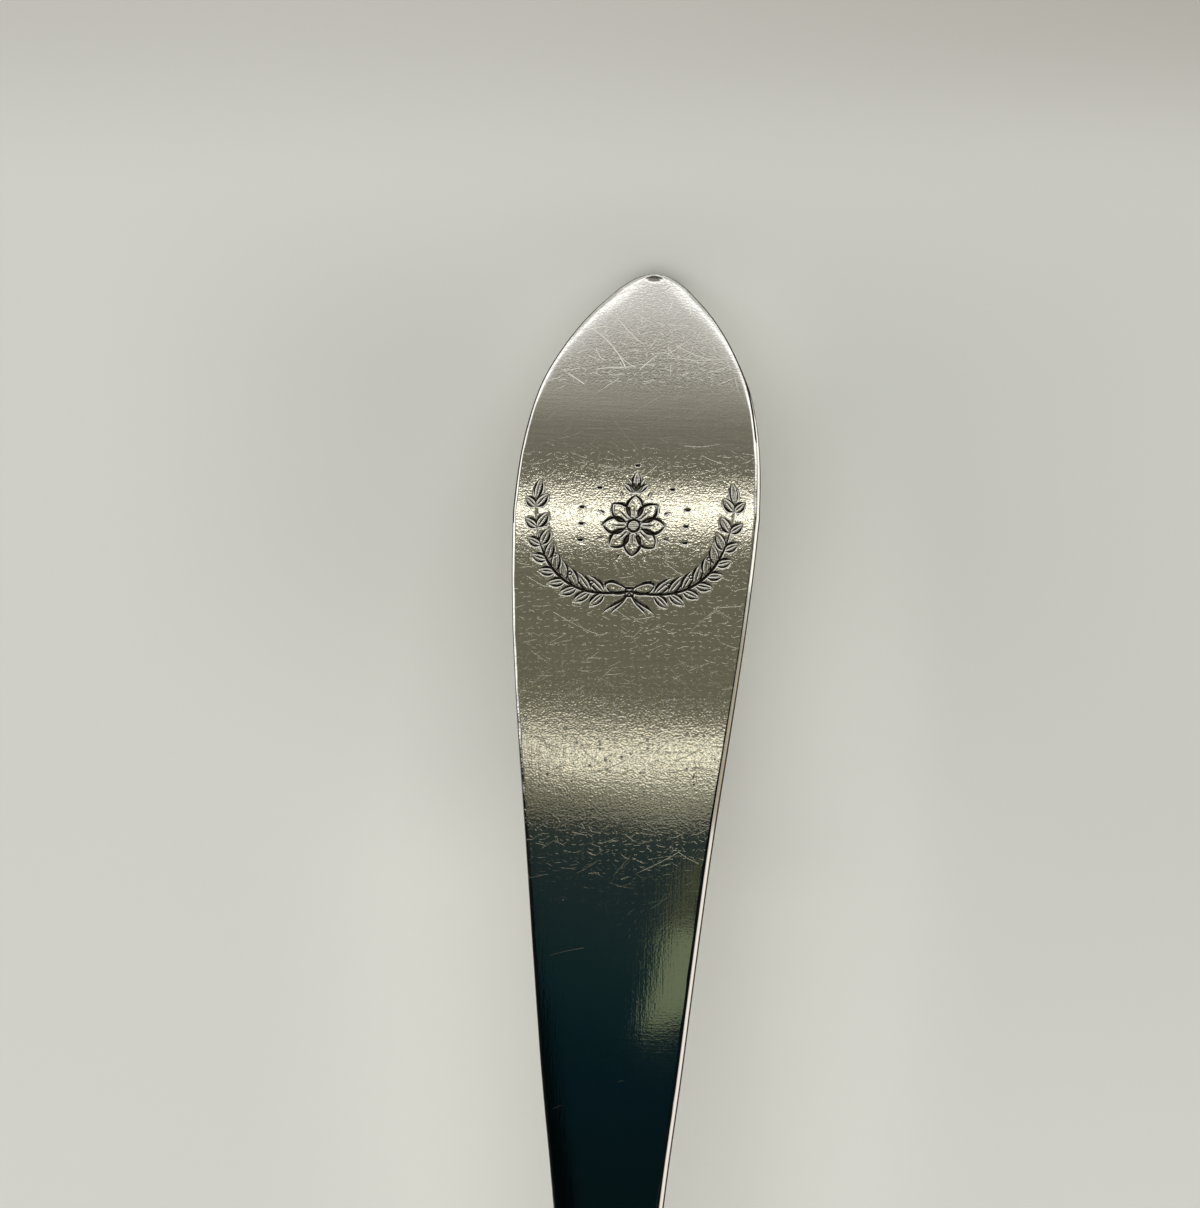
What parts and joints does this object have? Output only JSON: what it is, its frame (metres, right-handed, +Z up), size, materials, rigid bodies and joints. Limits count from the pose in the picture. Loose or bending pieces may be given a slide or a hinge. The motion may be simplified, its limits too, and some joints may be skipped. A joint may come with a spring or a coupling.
{
  "type": "dessert spoon",
  "caption": "One-piece silver dessert spoon with an egg-shaped bowl, a slim stem and a wide, blunt-pointed handle end turned down.",
  "frame": {"origin": "centre of the bounding box, at the table the spoon lies on", "axes": "+Z up out of the open bowl; +X along the spoon from the bowl's tip to the handle's tip; +Y across, the spoon being the same on both sides of the XZ plane"},
  "size_m": [0.1774, 0.039, 0.0174],
  "materials": {
    "silver": "polished silver, softly worn, with fine scratches"
  },
  "bodies": {
    "root": {"spoon": "silver"}
  },
  "joints": []
}
